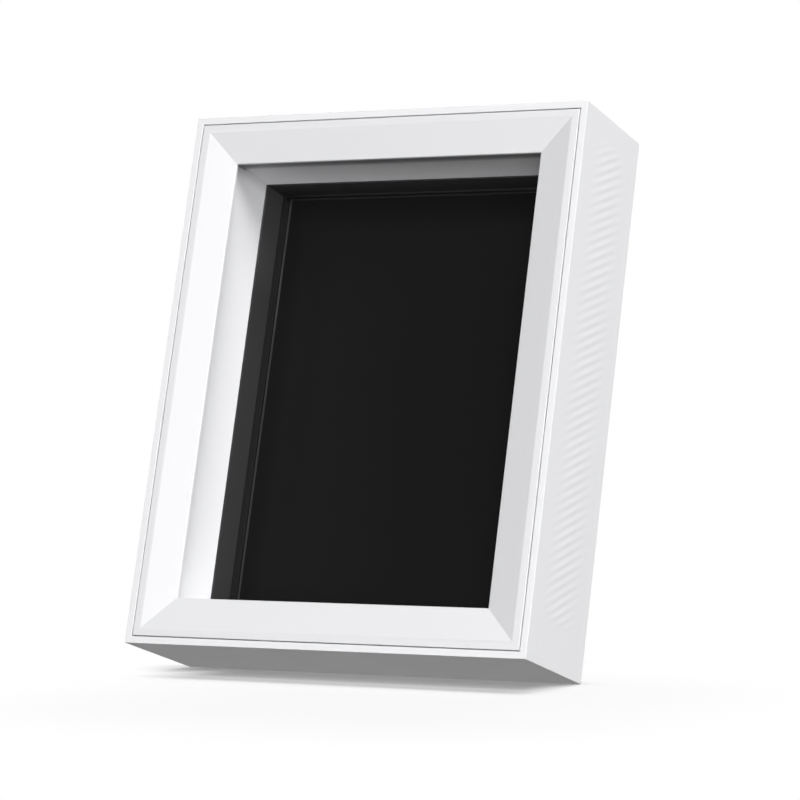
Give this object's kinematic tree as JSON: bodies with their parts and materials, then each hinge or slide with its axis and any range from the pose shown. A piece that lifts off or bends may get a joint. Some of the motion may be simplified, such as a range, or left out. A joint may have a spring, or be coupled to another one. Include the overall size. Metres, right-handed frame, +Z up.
{
  "type": "holographic digital photo frame",
  "caption": "Deep white shadow-box photo frame with a recessed holographic screen, leaning back on a fold-out kickstand, with side buttons and rear sockets.",
  "frame": {"origin": "bottom centre of the overall box, on the table under the leaning frame", "axes": "+Z up, front of the frame faces -Y, +X to the viewer's right"},
  "size_m": [0.1626, 0.1202, 0.2075],
  "materials": {
    "white_plastic": "satin white moulded plastic",
    "rear_plastic": "fine-grained white plastic",
    "black_plastic": "gloss black",
    "foam_gasket": "closed-cell foam",
    "lens_acrylic": "polished dark optical acrylic",
    "panel_glass": "dark display glass",
    "diffuser_film": "milky film",
    "guide_acrylic": "clear polished acrylic",
    "zinc_steel": "zinc plated",
    "alloy_plate": "plain sheet",
    "green_board": "solder mask",
    "chip_epoxy": "moulded epoxy",
    "flex_film": "amber film",
    "button_plastic": "satin grey",
    "light_pipe": "clear",
    "grey_rubber": "matt rubber"
  },
  "bodies": {
    "frame": {"housing": "white_plastic", "front_bezel": "white_plastic", "shadow_liner": "white_plastic", "rear_cover": "rear_plastic", "screen_surround": "black_plastic", "display_gasket": "foam_gasket", "lens_array": "lens_acrylic", "lcd_panel": "panel_glass", "diffuser_sheet": "diffuser_film", "light_guide": "guide_acrylic", "backlight_tray": "zinc_steel", "usb_c_port": "zinc_steel", "hdmi_port": "zinc_steel", "hinge_pin": "zinc_steel", "hinge_washer_left": "zinc_steel", "hinge_washer_right": "zinc_steel", "rear_screw_1": "zinc_steel", "rear_screw_2": "zinc_steel", "rear_screw_3": "zinc_steel", "rear_screw_4": "zinc_steel", "chassis_screw_1": "zinc_steel", "chassis_screw_2": "zinc_steel", "chassis_screw_3": "zinc_steel", "chassis_screw_4": "zinc_steel", "board_screw_1": "zinc_steel", "board_screw_2": "zinc_steel", "board_screw_3": "zinc_steel", "board_screw_4": "zinc_steel", "chassis_plate": "alloy_plate", "heat_sink": "alloy_plate", "main_board": "green_board", "processor_chip": "chip_epoxy", "memory_chip_1": "chip_epoxy", "memory_chip_2": "chip_epoxy", "display_connector": "chip_epoxy", "switch_power": "chip_epoxy", "switch_previous": "chip_epoxy", "switch_play": "chip_epoxy", "switch_next": "chip_epoxy", "display_flex": "flex_film", "status_light": "light_pipe", "foot_pad_left": "grey_rubber", "foot_pad_right": "grey_rubber"},
    "kickstand": {"kickstand_leg": "white_plastic", "kickstand_pad": "grey_rubber"},
    "power_key": {"power_button": "button_plastic", "plunger_power": "button_plastic"},
    "previous_key": {"previous_button": "button_plastic", "plunger_previous": "button_plastic"},
    "play_key": {"play_button": "button_plastic", "plunger_play": "button_plastic"},
    "next_key": {"next_button": "button_plastic", "plunger_next": "button_plastic"}
  },
  "joints": [
    {"name": "kickstand_hinge", "type": "hinge", "parent": "frame", "child": "kickstand", "pos_m": [0, 0.02978, 0.10327], "axis": [1, 0, 0], "range_deg": [-30, 0]},
    {"name": "previous_press", "type": "slide", "parent": "frame", "child": "previous_key", "axis": [1, 0, 0], "range_m": [0, 0.0006], "stiffness_N_per_m": 900},
    {"name": "play_press", "type": "slide", "parent": "frame", "child": "play_key", "axis": [1, 0, 0], "range_m": [0, 0.0006], "stiffness_N_per_m": 900},
    {"name": "next_press", "type": "slide", "parent": "frame", "child": "next_key", "axis": [1, 0, 0], "range_m": [0, 0.0006], "stiffness_N_per_m": 900},
    {"name": "power_press", "type": "slide", "parent": "frame", "child": "power_key", "axis": [0, -0.9659, 0.2588], "range_m": [0, 0.0006], "stiffness_N_per_m": 900}
  ]
}
